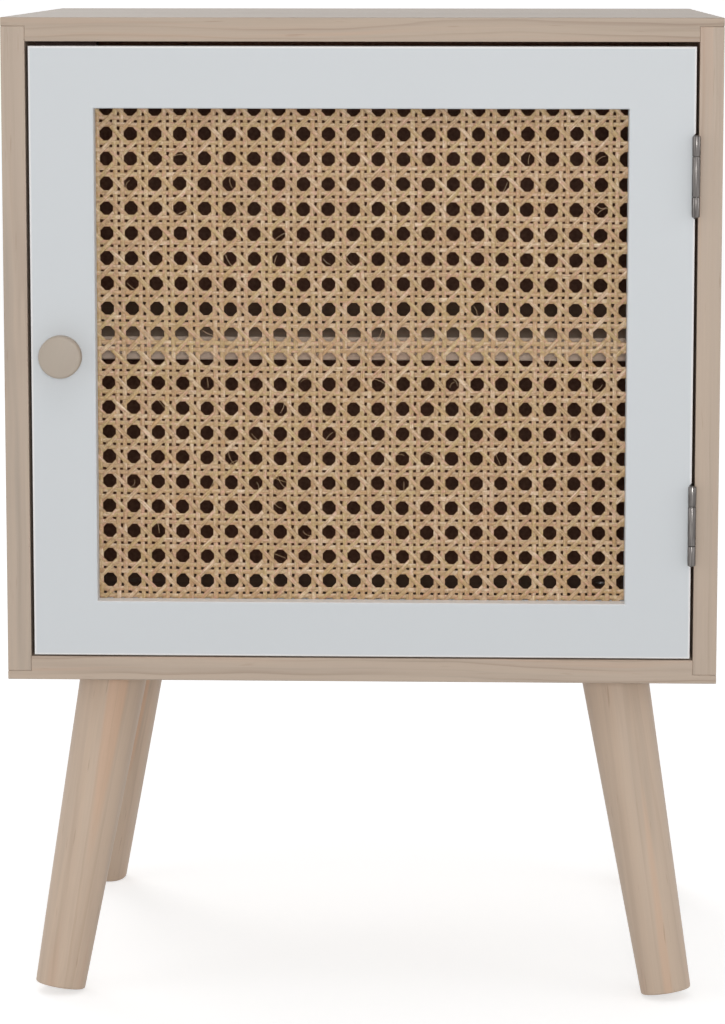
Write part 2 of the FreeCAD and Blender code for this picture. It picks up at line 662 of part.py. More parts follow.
def table():
    """Every piece by its name. A value is one solid or a list of like ones."""
    dowels = carcass_dowels()
    nails = back_panel_nails()
    pins = shelf_pins()
    legs = leg_places()
    bolts = leg_hanger_bolts(legs)
    t_nuts = leg_t_nuts(legs)
    upper_hinge, lower_hinge = [hinge(height) for height in HINGE_HEIGHTS]
    catch = catch_parts()
    strike_plate, strike_screws = strike_parts()
    brads = cane_strip_brads()
    screw = knob_screw()
    cabinet_screws = upper_hinge["cabinet_screws"] + lower_hinge["cabinet_screws"]
    door_screws = upper_hinge["door_screws"] + lower_hinge["door_screws"]
    carcass_tools = dowels + nails + [back_pocket(0)]
    pieces = {
        "top_panel": end_panel(TOP_Z, CEILING_Z, carcass_tools + catch["screws"]),
        "bottom_panel": end_panel(UNDERSIDE_Z, FLOOR_Z, carcass_tools + bolt_rooms(legs) + t_nuts),
        "left_side_panel": side_panel(-1, carcass_tools + pins),
        "right_side_panel": side_panel(1, carcass_tools + pins + cabinet_screws),
        "back_panel": without(back_pocket(BACK_CLEARANCE), nails),
        "back_panel_nails": nails,
        "carcass_dowels": dowels,
        "shelf": shelf(),
        "shelf_pins": pins,
        "leg_hanger_bolts": bolts,
        "leg_t_nuts": t_nuts,
        "upper_hinge_cabinet_leaf": upper_hinge["cabinet_leaf"],
        "lower_hinge_cabinet_leaf": lower_hinge["cabinet_leaf"],
        "upper_hinge_pin": upper_hinge["pin"],
        "lower_hinge_pin": lower_hinge["pin"],
        "hinge_cabinet_screws": cabinet_screws,
        "catch_body": catch["body"],
        "catch_magnet": catch["magnet"],
        "catch_pole_plates": catch["poles"],
        "catch_screws": catch["screws"],
        "door_frame": door_frame(
            [upper_hinge["recess"], lower_hinge["recess"], screw] + door_screws + strike_screws + brads
        ),
        "cane_panel": cane_panel(),
        "cane_strip_brads": brads,
        "door_knob": door_knob(screw),
        "knob_screw": screw,
        "upper_hinge_door_leaf": upper_hinge["door_leaf"],
        "lower_hinge_door_leaf": lower_hinge["door_leaf"],
        "hinge_door_screws": door_screws,
        "catch_strike_plate": strike_plate,
        "strike_screws": strike_screws,
    }
    for name, (top, foot) in legs.items():
        pieces[name] = without(leg(top, foot), bolts)
    for name, strip in cane_strips().items():
        pieces[name] = without(strip, brads)
    return pieces


os.makedirs("parts", exist_ok=True)
for name, piece in table().items():
    shape = Part.makeCompound(piece) if isinstance(piece, list) else piece
    shape.exportStep(f"parts/{name}.step")
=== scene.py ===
import math
import random

import bmesh
import bpy
from mathutils import Matrix, Vector, noise


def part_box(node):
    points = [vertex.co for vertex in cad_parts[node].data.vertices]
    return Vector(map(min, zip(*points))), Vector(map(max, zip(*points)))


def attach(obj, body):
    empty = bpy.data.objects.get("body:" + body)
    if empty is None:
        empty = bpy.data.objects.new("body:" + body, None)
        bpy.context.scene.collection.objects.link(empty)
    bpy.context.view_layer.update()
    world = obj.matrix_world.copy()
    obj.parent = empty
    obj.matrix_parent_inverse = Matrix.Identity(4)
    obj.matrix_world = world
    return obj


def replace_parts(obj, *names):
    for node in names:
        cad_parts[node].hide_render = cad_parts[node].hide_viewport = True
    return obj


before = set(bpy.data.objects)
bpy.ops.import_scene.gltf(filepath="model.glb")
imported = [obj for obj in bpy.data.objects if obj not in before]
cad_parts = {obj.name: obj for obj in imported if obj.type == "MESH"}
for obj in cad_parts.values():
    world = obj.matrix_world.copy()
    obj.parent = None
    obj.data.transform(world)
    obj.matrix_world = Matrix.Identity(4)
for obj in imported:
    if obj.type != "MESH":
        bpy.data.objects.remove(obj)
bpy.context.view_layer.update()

# ---------------------------------------------------------------------------------------------------
# Cabinet boards. Solid whitewashed pine, each board glued up from four staves: a top and a bottom with
# rebated ends, and the two sides that stand between them on beech dowels. Their long edges are barely
# sanded.

BOARD_EASE = 0.00045
LONG_EDGE = 0.0085
SQUARE_EDGE = 60
FLAT_WITHIN = 1
WELD = 1e-6
PINE_PALE = (0.485, 0.385, 0.303)
PINE_PINK = (0.515, 0.365, 0.272)
PINE_GREY = (0.380, 0.310, 0.250)
PINE_LINE = (0.255, 0.170, 0.115)
PINE_HEART = (0.540, 0.350, 0.235)
PINE_RESIN = (0.250, 0.140, 0.085)
PINE_WASH = 0.5
PINE_GLOSS = 0.5
WHITEWASH = (0.490, 0.400, 0.323)
# A greyer colour mixed onto faces that look up: a painted sheen.
PAINTED_SHEEN = (0.375, 0.355, 0.334)
TOP_SHEEN_SHARE = 0.55
TOP_GLOSS = 0.3
NO_TINT = (1.0, 1.0, 1.0)
RINGS_PER_METRE = 95
RING_UNEVENNESS = 2.6
LATE_WOOD = ((0.0, 0.10), (0.35, 0.0), (0.72, 0.25), (0.93, 1.0), (1.0, 0.10))
LOG_TAPER = 0.015
DRIFT = 0.024
DRIFT_SCALE = (8, 8, 1.7)
RIPPLE = 0.0055
RIPPLE_SCALE = (24, 24, 9.0)
BAND_SLICE = 0.37
CLOUDS_PER_METRE = 7.0
STREAK_SCALE = (230, 230, 6.0)
FIBRE_SCALE = (1500, 1500, 30)
DUCT_SCALE = (620, 620, 42)
GRAIN_RELIEF = 0.00012
STAVES = 4
STAVE_SHIFT = (0.13, 0.13, 1.7)
STAVE_JOINT = 0.004
JOINT_DARKER = 0.72
STAVE_DARKER = 0.93
STAVE_LIGHTER = 1.05
NOISE_MIDDLE = (0.5, 0.5, 0.5)
BEECH_DARK = (0.48, 0.31, 0.18)
BEECH_PALE = (0.60, 0.43, 0.27)
ALONG_X = Vector((1, 0, 0))
ALONG_Z = Vector((0, 0, 1))


def add_node(tree, kind, inputs=(), **settings):
    """A node of a material, with its settings, and with values or sockets for its inputs."""
    node = tree.nodes.new("ShaderNode" + kind)
    for key, value in settings.items():
        setattr(node, key, value)
    for key, value in dict(inputs).items():
        if isinstance(value, bpy.types.NodeSocket):
            tree.links.new(value, node.inputs[key])
        else:
            node.inputs[key].default_value = value
    return node


def maths(tree, operation, *values):
    """A number worked out from others by one operation."""
    return add_node(tree, "Math", dict(enumerate(values)), operation=operation).outputs[0]


def vector_maths(tree, operation, *values):
    """A vector worked out from others by one operation."""
    return add_node(tree, "VectorMath", dict(enumerate(values)), operation=operation).outputs[0]


def scaled(tree, vector, factor):
    """A vector times a number."""
    return add_node(tree, "VectorMath", {0: vector, "Scale": factor}, operation="SCALE").outputs[0]


def size_of(tree, vector):
    """How long a vector is."""
    return add_node(tree, "VectorMath", {0: vector}, operation="LENGTH").outputs["Value"]


def part_of(tree, vector, axis):
    """A vector's number along one axis."""
    return add_node(tree, "SeparateXYZ", {0: vector}).outputs[axis]


def level(tree, factor, low, high, least, most):
    """A number that goes from least to most as the factor goes from low to high."""
    return add_node(tree, "MapRange", {0: factor, 1: low, 2: high, 3: least, 4: most}).outputs[0]


def graded(tree, factor, stops):
    """A colour that runs through stops of (position, colour) as the factor goes from 0 to 1."""
    node = add_node(tree, "ValToRGB", {"Fac": factor})
    elements = node.color_ramp.elements
    while len(elements) < len(stops):
        elements.new(1.0)
    for element, (position, colour) in zip(elements, stops):
        element.position = position
        element.color = (*colour, 1.0)
    return node.outputs["Color"]


def mixed(tree, factor, first, second, blend="MIX"):
    """Two colours mixed by a factor."""
    node = add_node(tree, "Mix", data_type="RGBA", blend_type=blend)
    for socket, value in zip((node.inputs[0], node.inputs[6], node.inputs[7]), (factor, first, second)):
        if isinstance(value, bpy.types.NodeSocket):
            tree.links.new(value, socket)
        else:
            socket.default_value = (*value, 1.0) if isinstance(value, tuple) else value
    return node.outputs[2]


def multiplied(tree, first, second):
    """Two colours multiplied."""
    return mixed(tree, 1.0, first, second, "MULTIPLY")


def object_place(tree):
    """Where a point of a piece lies, in metres."""
    return add_node(tree, "TexCoord").outputs["Object"]


def facing_along(tree, axis):
    """How squarely a face looks along an axis, from -1 to 1."""
    return part_of(tree, add_node(tree, "TexCoord").outputs["Normal"], axis)


def speckle(tree, place, scale, detail=2.0, output="Fac"):
    """Noise over a place that is stretched by its own number along each axis."""
    stretched = vector_maths(tree, "MULTIPLY", place, scale)
    return add_node(tree, "TexNoise", {"Vector": stretched, "Scale": 1.0, "Detail": detail}).outputs[output]


def dent(tree, shader, height, strength, distance):
    """Gives a shader a relief."""
    bump = add_node(tree, "Bump", {"Height": height, "Strength": strength, "Distance": distance})
    tree.links.new(bump.outputs[0], shader.inputs["Normal"])


def new_finish(name, **sockets):
    """A material, its tree and its shader, with plain values on the shader's sockets."""
    material = bpy.data.materials.new(name)
    material.use_nodes = True
    tree = material.node_tree
    shader = tree.nodes["Principled BSDF"]
    for key, value in sockets.items():
        shader.inputs[key.replace("_", " ")].default_value = value
    return material, tree, shader


def speckled_finish(name, scale, stops, detail=2.0, **sockets):
    """A finish whose colour runs through stops by noise, and also that noise, for its gloss or relief."""
    material, tree, shader = new_finish(name, **sockets)
    grit = speckle(tree, object_place(tree), scale, detail)
    tree.links.new(graded(tree, grit, stops), shader.inputs["Base Color"])
    return material, tree, shader, grit


def glued_staves(tree, place, log, board):
    """Gives each stave of a board its own place in a log and its own tone, all but the one at the front."""
    low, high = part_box(board)
    width = (high.y - low.y) / STAVES
    count = maths(tree, "MULTIPLY_ADD", part_of(tree, place, "Y"), 1 / width, -low.y / width)
    index = maths(tree, "FLOOR", count)
    lot = add_node(tree, "TexWhiteNoise", {"W": index}, noise_dimensions="1D")
    behind = maths(tree, "GREATER_THAN", index, 0.0)
    shift = vector_maths(tree, "SUBTRACT", lot.outputs["Color"], NOISE_MIDDLE)
    shift = vector_maths(tree, "MULTIPLY", shift, STAVE_SHIFT)
    shift = scaled(tree, shift, behind)
    inside = level(tree, maths(tree, "FRACT", count), 0.0, STAVE_JOINT, JOINT_DARKER, 1.0)
    tone = level(tree, lot.outputs["Value"], 0.0, 1.0, STAVE_DARKER, STAVE_LIGHTER)
    tone = mixed(tree, behind, NO_TINT, maths(tree, "MULTIPLY", tone, inside))
    return vector_maths(tree, "ADD", log, shift), tone


def pine_finish(name, grain, pith, wash=PINE_WASH, rings=RINGS_PER_METRE, heart=0.0, wander=1.0, lines=1.0,
                tint=NO_TINT, gloss=PINE_GLOSS, painted_top_sheen=0.0, board=None):
    """Whitewashed pine. The grain runs along a direction, and the middle of its log through the pith, a
    point. The heart is the radius of the pinker wood round the pith, wander is how far the rings stray,
    and lines is how strongly the late wood shows. Faces that look up get a share of a greyer colour, a
    painted sheen, and the board is the node whose staves it shows."""
    material, tree, shader = new_finish(name, Specular_IOR_Level=gloss)
    place = object_place(tree)
    turn = grain.rotation_difference(ALONG_Z)
    inputs = {"Vector": place, "Location": -(turn @ Vector(pith)), "Rotation": turn.to_euler()}
    log = add_node(tree, "Mapping", inputs).outputs[0]
    if board:
        log, stave_tone = glued_staves(tree, place, log, board)
    section = log
    for scale, reach in ((DRIFT_SCALE, DRIFT * min(1.0, wander)), (RIPPLE_SCALE, RIPPLE * wander)):
        stray = vector_maths(tree, "SUBTRACT", speckle(tree, log, scale, output="Color"), NOISE_MIDDLE)
        section = vector_maths(tree, "ADD", section, scaled(tree, stray, reach))
    section = vector_maths(tree, "MULTIPLY", section, (1, 1, LOG_TAPER))
    radius = size_of(tree, section)
    height = part_of(tree, log, "Z")
    ring = add_node(tree, "CombineXYZ", {0: radius, 1: BAND_SLICE, 2: height}).outputs[0]
    uneven = speckle(tree, section, (60, 60, 60))
    count = maths(tree, "MULTIPLY", radius, float(rings))
    count = maths(tree, "MULTIPLY_ADD", uneven, RING_UNEVENNESS, count)
    year = maths(tree, "FRACT", count)
    late = graded(tree, year, [(position, (share,) * 3) for position, share in LATE_WOOD])
    band = speckle(tree, ring, (rings * 1.4, 1.0, 3.2))
    tone = graded(tree, band, [(0.30, PINE_GREY), (0.43, PINE_PALE), (0.56, PINE_PALE), (0.70, PINE_PINK)])
    patchy = speckle(tree, ring, (rings * 0.5, 1.0, 7.0), 1.0)
    strength = level(tree, patchy, 0.38, 0.66, 0.05 * lines, 0.58 * lines)
    lateness = maths(tree, "MULTIPLY", late, strength)
    if heart:
        tone = mixed(tree, level(tree, radius, heart * 0.85, heart * 1.08, 0.85, 0.0), tone, PINE_HEART)
    lined = mixed(tree, lateness, tone, PINE_LINE)
    streak_stops = [(0.28, (0.90, 0.885, 0.875)), (0.45, NO_TINT), (0.72, (1.05, 1.035, 1.02))]
    streaks = graded(tree, speckle(tree, log, STREAK_SCALE, 3.0), streak_stops)
    fibre = speckle(tree, log, FIBRE_SCALE)
    fine = graded(tree, fibre, [(0.30, (0.965, 0.96, 0.955)), (0.70, (1.03, 1.03, 1.03))])
    bare = multiplied(tree, multiplied(tree, lined, streaks), fine)
    cloud = add_node(tree, "TexNoise", {"Vector": place, "Scale": CLOUDS_PER_METRE, "Detail": 2.0})
    film = level(tree, cloud.outputs["Fac"], 0.3, 0.7, wash * 0.3, wash * 0.8)
    washed = multiplied(tree, mixed(tree, film, bare, WHITEWASH), tint)
    if board:
        washed = multiplied(tree, washed, stave_tone)
    # Faces that look up are mixed towards a greyer colour: a painted sheen.
    if painted_top_sheen:
        upward = level(tree, facing_along(tree, "Z"), 0.7, 0.95, 0.0, painted_top_sheen)
        washed = mixed(tree, upward, washed, PAINTED_SHEEN)
    duct = speckle(tree, log, DUCT_SCALE, 1.0)
    colour = mixed(tree, level(tree, duct, 0.70, 0.80, 0.0, 0.32), washed, PINE_RESIN)
    tree.links.new(colour, shader.inputs["Base Color"])
    tree.links.new(level(tree, fibre, 0.3, 0.7, 0.44, 0.58), shader.inputs["Roughness"])
    dent(tree, shader, maths(tree, "MULTIPLY_ADD", fibre, 0.6, late), 0.14, GRAIN_RELIEF)
    return material


def dress(obj, material):
    """Gives an object one material."""
    obj.data.materials.clear()
    obj.data.materials.append(material)


def dress_nodes(material, *nodes):
    """Gives CAD nodes one material."""
    for node in nodes:
        dress(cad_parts[node], material)


def mesh_data(mesh, name):
    """The mesh of a bmesh, which is used up."""
    data = bpy.data.meshes.new(name)
    mesh.to_mesh(data)
    mesh.free()
    return data


def placed(name, data):
    """An object in the scene, at the origin."""
    obj = bpy.data.objects.new(name, data)
    bpy.context.scene.collection.objects.link(obj)
    return obj


def finished(mesh, name, material, body, crease=None):
    """Makes a bmesh an object that rides on a body. Faces that meet at less than the crease, in degrees, are
    shaded smooth."""
    obj = placed(name, mesh_data(mesh, name))
    if crease:
        obj.data.shade_smooth()
        obj.data.set_sharp_from_angle(angle=math.radians(crease))
    dress(obj, material)
    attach(obj, body)
    return obj


def merged_copy(node):
    """A CAD node's shape as one joined mesh."""
    mesh = bmesh.new()
    mesh.from_mesh(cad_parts[node].data)
    bmesh.ops.remove_doubles(mesh, verts=mesh.verts, dist=WELD)
    flat = math.radians(FLAT_WITHIN)
    bmesh.ops.dissolve_limit(mesh, angle_limit=flat, verts=mesh.verts, edges=mesh.edges)
    return mesh


def sharp_edges(mesh, turn, length=0.0):
    """The outward edges of more than a length, where the surface turns by more than some degrees."""
    return [edge for edge in mesh.edges
            if edge.is_manifold and edge.is_convex
            and edge.calc_face_angle() > math.radians(turn) and edge.calc_length() > length]


def eased_board(node, ease, material):
    """A board of the cabinet with its long edges rounded over, in the place of its CAD node."""
    mesh = merged_copy(node)
    edges = sharp_edges(mesh, SQUARE_EDGE, LONG_EDGE)
    rounded = bmesh.ops.bevel(mesh, geom=edges, offset=ease, segments=3, profile=0.5, affect="EDGES",
                              material=-1)
    for face in mesh.faces:
        face.smooth = False
    for face in rounded["faces"]:
        face.smooth = True
    board = finished(mesh, node + "_board", material, "cabinet")
    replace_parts(board, node)


board_wood = {
    "top_panel": dict(grain=ALONG_X, pith=(0.45, -0.118, 0.545), rings=150, wander=1.3, gloss=TOP_GLOSS,
                      painted_top_sheen=TOP_SHEEN_SHARE),
    "bottom_panel": dict(grain=ALONG_X, pith=(0.73, -0.122, 0.252), rings=185, wander=1.6, lines=1.45),
    "left_side_panel": dict(grain=ALONG_Z, pith=(-0.158, -0.112, 0.1)),
    "right_side_panel": dict(grain=ALONG_Z, pith=(0.255, -0.125, 0.8)),
}
for board, wood in board_wood.items():
    eased_board(board, BOARD_EASE, pine_finish(board + "_pine", board=board, **wood))

beech_stops = [(0.35, BEECH_DARK), (0.65, BEECH_PALE)]
beech = speckled_finish("bare_beech", (60, 900, 900), beech_stops, 3.0, Roughness=0.7)[0]
dress_nodes(beech, "carcass_dowels")

# ---------------------------------------------------------------------------------------------------
# Legs. Four turned and tapered pine legs, splayed towards the corners, cut level at the top and square
# at the foot with a rounded rim. A zinc-plated bolt in each one screws into a nut let into the bottom.

LEG_TOP_INSET = 0.0585
LEG_FOOT_INSET = 0.0254
LEG_TOP_RADIUS = 0.0205
LEG_FOOT_RADIUS = 0.0151
LEG_SPARE = 1.06
LEG_RIM = 0.0012
LEG_SIDES = 96
LEG_RINGS = 75
LEG_WANDER = 0.22
LEG_LINES = 0.6
LEG_WASH = 0.72
# The legs' wood is made paler: painted light.
LEG_PAINTED_LIGHT = (1.18, 1.14, 1.10)
ZINC_DARK = (0.52, 0.52, 0.51)
ZINC_PALE = (0.66, 0.66, 0.64)

carcass_low, carcass_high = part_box("bottom_panel")
underside = carcass_low.z
leg_wood = {
    "front_left_leg": dict(pith_offset=(0.0062, -0.0226), lean=(-0.018, 0.010), heart=0.0079),
    "front_right_leg": dict(pith_offset=(0.010, -0.0250), lean=(0.040, -0.041), heart=0.0044),
    # The rear legs are made paler still: painted light against the cabinet's shade.
    "rear_left_leg": dict(pith_offset=(0.009, -0.019), lean=(-0.006, 0.018), heart=0.0060, extra_painted_light=1.14),
    "rear_right_leg": dict(pith_offset=(0.012, 0.022), lean=(0.004, -0.015), heart=0.0080, extra_painted_light=1.05),
}


def tinted(colour, share):
    """A colour made darker or paler."""
    return tuple(value * share for value in colour)


def stood_along(direction):
    """The turn that stands an upright thing along a direction."""
    return ALONG_Z.rotation_difference(direction).to_matrix().to_4x4()


def leg_end(name, inset, height):
    """Where a leg's axis is at a height, from how far it stands in from the cabinet's two sides there."""
    x = carcass_high.x - inset if "right" in name else carcass_low.x + inset
    y = carcass_high.y - inset if "rear" in name else carcass_low.y + inset
    return Vector((x, y, height))


def turned_leg(name, pith_offset, lean, heart, extra_painted_light=1.0):
    """One leg, longer than it has to be, stood on its foot and cut off at the cabinet. The pith's offset is
    from the middle of the leg's top, the lean is the grain's, off the leg's axis, and the heart is the
    radius of its pinker wood. The last argument makes the leg paler still, as painted light."""
    foot = leg_end(name, LEG_FOOT_INSET, 0)
    axis = leg_end(name, LEG_TOP_INSET, underside) - foot
    length = axis.length
    axis.normalize()
    long = length * LEG_SPARE
    top_radius = LEG_FOOT_RADIUS + (LEG_TOP_RADIUS - LEG_FOOT_RADIUS) * long / length
    mesh = bmesh.new()
    bmesh.ops.create_cone(mesh, cap_ends=True, segments=LEG_SIDES, radius1=LEG_FOOT_RADIUS,
                          radius2=top_radius, depth=long)
    bmesh.ops.translate(mesh, vec=(0, 0, long / 2), verts=mesh.verts)
    rim = [edge for edge in mesh.edges if max(vert.co.z for vert in edge.verts) < WELD]
    bmesh.ops.bevel(mesh, geom=rim, offset=LEG_RIM, segments=4, profile=0.5, affect="EDGES", material=-1)
    stand = Matrix.Translation(foot) @ stood_along(axis)
    bmesh.ops.transform(mesh, matrix=stand, verts=mesh.verts)
    lowest = min(vert.co.z for vert in mesh.verts)
    bmesh.ops.translate(mesh, vec=axis * (-lowest / axis.z), verts=mesh.verts)
    cut = bmesh.ops.bisect_plane(mesh, geom=mesh.verts[:] + mesh.edges[:] + mesh.faces[:], dist=1e-7,
                                 plane_co=(0, 0, underside), plane_no=(0, 0, 1), clear_outer=True)
    rim = [part for part in cut["geom_cut"] if isinstance(part, bmesh.types.BMEdge)]
    bmesh.ops.edgeloop_fill(mesh, edges=rim)
    bmesh.ops.recalc_face_normals(mesh, faces=mesh.faces)
    pith = leg_end(name, LEG_TOP_INSET, underside) + Vector((*pith_offset, 0))
    grain = (axis + Vector((*lean, 0))).normalized()
    pine = pine_finish(name + "_pine", grain, pith, wash=LEG_WASH, rings=LEG_RINGS, heart=heart,
                       wander=LEG_WANDER, lines=LEG_LINES, tint=tinted(LEG_PAINTED_LIGHT, extra_painted_light))
    leg = finished(mesh, name + "_turned", pine, "cabinet", crease=40)
    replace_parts(leg, name)


for name, wood in leg_wood.items():
    turned_leg(name, **wood)

zinc_stops = [(0.3, ZINC_DARK), (0.7, ZINC_PALE)]
zinc, tree, shader, spangle = speckled_finish("zinc_plate", (900, 900, 900), zinc_stops, Metallic=1.0)
tree.links.new(level(tree, spangle, 0.3, 0.7, 0.30, 0.48), shader.inputs["Roughness"])
dress_nodes(zinc, "leg_hanger_bolts", "leg_t_nuts")

# ---------------------------------------------------------------------------------------------------
# Back panel. Thin brown hardboard let into the back of the cabinet, smooth inside and with the print of
# the press screen on its outer face, and held with panel pins.

HARDBOARD = (0.190, 0.077, 0.041)
HARDBOARD_PALE = (0.275, 0.127, 0.070)
PATCH_DARKER = (0.90, 0.90, 0.90)
PATCH_PALER = (1.08, 1.06, 1.04)
SCREEN_PITCH = 0.0014
SCREEN_DEPTH = 0.0002
WAVE_PITCH = math.tau / 20    # of a wave texture at a scale of 1

hardboard, tree, shader = new_finish("brown_hardboard", Roughness=0.55, Specular_IOR_Level=0.3)
place = object_place(tree)
flock = speckle(tree, place, (420, 420, 420), 4.0)
patch = speckle(tree, place, (9, 9, 9), 3.0)
brown = graded(tree, flock, [(0.35, HARDBOARD), (0.70, HARDBOARD_PALE)])
shade = graded(tree, patch, [(0.3, PATCH_DARKER), (0.7, PATCH_PALER)])
tree.links.new(multiplied(tree, brown, shade), shader.inputs["Base Color"])
wires = []
for direction in ("X", "Z"):
    waves = {"Vector": place, "Scale": WAVE_PITCH / SCREEN_PITCH}
    wires.append(add_node(tree, "TexWave", waves, bands_direction=direction).outputs["Fac"])
screen = maths(tree, "MULTIPLY", *wires)
outer_face = maths(tree, "GREATER_THAN", facing_along(tree, "Y"), 0.5)
dent(tree, shader, maths(tree, "MULTIPLY", screen, outer_face), 0.6, SCREEN_DEPTH)
dress_nodes(hardboard, "back_panel")
dress_nodes(zinc, "back_panel_nails")

# ---------------------------------------------------------------------------------------------------
# Shelf. One more pine board, lying loose on four steel pegs in the sides.

SHELF_EASE = 0.0008
SHELF_PITH = (0.11, -0.06, 0.34)
SHELF_WASH = 1.0
# The shelf's wood is made paler all over: painted light.
SHELF_PAINTED_LIGHT = (1.42, 1.34, 1.28)

shelf_pine = pine_finish("shelf_pine", ALONG_X, SHELF_PITH, wash=SHELF_WASH, tint=SHELF_PAINTED_LIGHT, board="shelf")
eased_board("shelf", SHELF_EASE, shelf_pine)
dress_nodes(zinc, "shelf_pins")

# ---------------------------------------------------------------------------------------------------
# Magnetic catch. A brown moulded housing screwed up into the top panel, holding a black magnet between
# two steel plates. Its screws, like all the screws here, are driven by a cross sunk in their heads.

MOULDED_DARK = (0.038, 0.017, 0.012)
MOULDED_PALE = (0.052, 0.024, 0.017)
FERRITE_DARK = (0.018, 0.018, 0.019)
FERRITE_PALE = (0.045, 0.045, 0.047)
CROSS_LENGTH = 1.75
CROSS_WIDTH = 0.52
CROSS_TAPER = 0.35
CROSS_TURNS = (20, 110)
SCREW_APART = 0.009
SCREW_CREASE = 35
HEAD_LEVEL = 1e-5

moulded_stops = [(0.3, MOULDED_DARK), (0.7, MOULDED_PALE)]
moulded, tree, shader, texture = speckled_finish("brown_moulded_plastic", (1800, 1800, 1800), moulded_stops,
                                                 1.0, Roughness=0.6, Specular_IOR_Level=0.2)
dent(tree, shader, texture, 0.2, 0.00005)
dress_nodes(moulded, "catch_body")

ferrite_stops = [(0.3, FERRITE_DARK), (0.7, FERRITE_PALE)]
ferrite = speckled_finish("black_ferrite", (2500, 2500, 2500), ferrite_stops, Roughness=0.6)[0]
dress_nodes(ferrite, "catch_magnet")
dress_nodes(zinc, "catch_pole_plates")


def cross_cutter(centres, facing, head_radius, turn):
    """Tapered bars, one at each head, that cut half of a cross."""
    mesh = bmesh.new()
    size = (CROSS_LENGTH * head_radius, CROSS_WIDTH * head_radius, head_radius, 1)
    aim = stood_along(facing) @ Matrix.Rotation(math.radians(turn), 4, "Z")
    bar = aim @ Matrix.Diagonal(size) @ Matrix.Rotation(math.radians(45), 4, "Z")
    for centre in centres:
        bmesh.ops.create_cone(mesh, cap_ends=True, segments=4, radius1=CROSS_TAPER * math.sqrt(0.5),
                              radius2=math.sqrt(0.5), depth=1, matrix=Matrix.Translation(centre) @ bar)
    return placed("cross_cutter", mesh_data(mesh, "cross_cutter"))


def crossed_screws(node, facing, body):
    """The screws of a node with a cross sunk in each head. The heads lie in one plane and face one way."""
    mesh = merged_copy(node)
    face = max(vert.co.dot(facing) for vert in mesh.verts)
    rims = [vert.co.copy() for vert in mesh.verts if vert.co.dot(facing) > face - HEAD_LEVEL]
    centres = []
    while rims:
        rim = [point for point in rims if (point - rims[0]).length < SCREW_APART]
        rims = [point for point in rims if (point - rims[0]).length >= SCREW_APART]
        centres.append(sum(rim, Vector()) / len(rim))
    head_radius = max((point - centres[-1]).length for point in rim)
    screws = finished(mesh, node + "_crossed", zinc, body, crease=SCREW_CREASE)
    cutters = [cross_cutter(centres, facing, head_radius, turn) for turn in CROSS_TURNS]
    for cutter in cutters:
        carve = screws.modifiers.new("cross", "BOOLEAN")
        carve.object = cutter
        carve.solver = "EXACT"
    carved = bpy.data.meshes.new_from_object(screws.evaluated_get(bpy.context.evaluated_depsgraph_get()))
    screws.modifiers.clear()
    screws.data = carved
    carved.set_sharp_from_angle(angle=math.radians(SCREW_CREASE))
    dress(screws, zinc)
    for cutter in cutters:
        bpy.data.objects.remove(cutter)
    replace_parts(screws, node)


crossed_screws("catch_screws", -ALONG_Z, "cabinet")

# ---------------------------------------------------------------------------------------------------
# Door frame. Fibreboard cut in one piece and sprayed with satin white paint, softly rounded round its
# face and round its window. The outer rim of its face carries a painted highlight, and the faces that look
# up are painted lighter, as painted light.

PAINT = (0.640, 0.665, 0.684)
# The paler white of the painted highlight on the rim and of the painted light on faces that look up.
PAINTED_HIGHLIGHT = (0.880, 0.865, 0.855)
THIN_COAT = 0.985
HIGHLIGHT_WIDTH = 0.0015
PEEL_DEPTH = 0.0002

door_low, door_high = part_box("door_frame")
door_middle = (door_low + door_high) / 2
door_half = (door_high - door_low) / 2
paint, tree, shader = new_finish("satin_white_paint", Specular_IOR_Level=0.45)
place = object_place(tree)
drift = speckle(tree, place, (5, 5, 5))
coat = graded(tree, drift, [(0.30, tinted(PAINT, THIN_COAT)), (0.70, PAINT)])
off_middle = vector_maths(tree, "SUBTRACT", place, door_middle)
off_middle = vector_maths(tree, "ABSOLUTE", off_middle)
past_edge = vector_maths(tree, "SUBTRACT", off_middle, door_half)
past_edge = add_node(tree, "SeparateXYZ", {0: past_edge}).outputs
nearest = maths(tree, "MAXIMUM", past_edge["X"], past_edge["Z"])
# A painted highlight along the outer rim of the door's face, and painted light on faces that look up.
near_side = level(tree, nearest, -HIGHLIGHT_WIDTH, -HIGHLIGHT_WIDTH / 3, 0.0, 1.0)
near_face = level(tree, past_edge["Y"], -HIGHLIGHT_WIDTH, -HIGHLIGHT_WIDTH / 2, 0.0, 1.0)
painted_rim_highlight = maths(tree, "MULTIPLY", near_side, near_face)
painted_ledge_light = level(tree, facing_along(tree, "Z"), 0.5, 0.9, 0.0, 1.0)
painted_light_share = maths(tree, "MAXIMUM", painted_rim_highlight, painted_ledge_light)
tree.links.new(mixed(tree, painted_light_share, coat, PAINTED_HIGHLIGHT), shader.inputs["Base Color"])
spray = speckle(tree, place, (1100, 1100, 1100))
swell = speckle(tree, place, (260, 260, 260), 1.0)
tree.links.new(level(tree, spray, 0.3, 0.7, 0.46, 0.54), shader.inputs["Roughness"])
dent(tree, shader, maths(tree, "MULTIPLY_ADD", spray, 0.4, swell), 0.05, PEEL_DEPTH)
dress_nodes(paint, "door_frame")

# ---------------------------------------------------------------------------------------------------
# Cane. Split rattan woven open: upright and level strands in pairs that pass over and under each other,
# and single strands on both slants, one way over the uprights and the other way over the levels. A few
# loose fibres lie across the holes.

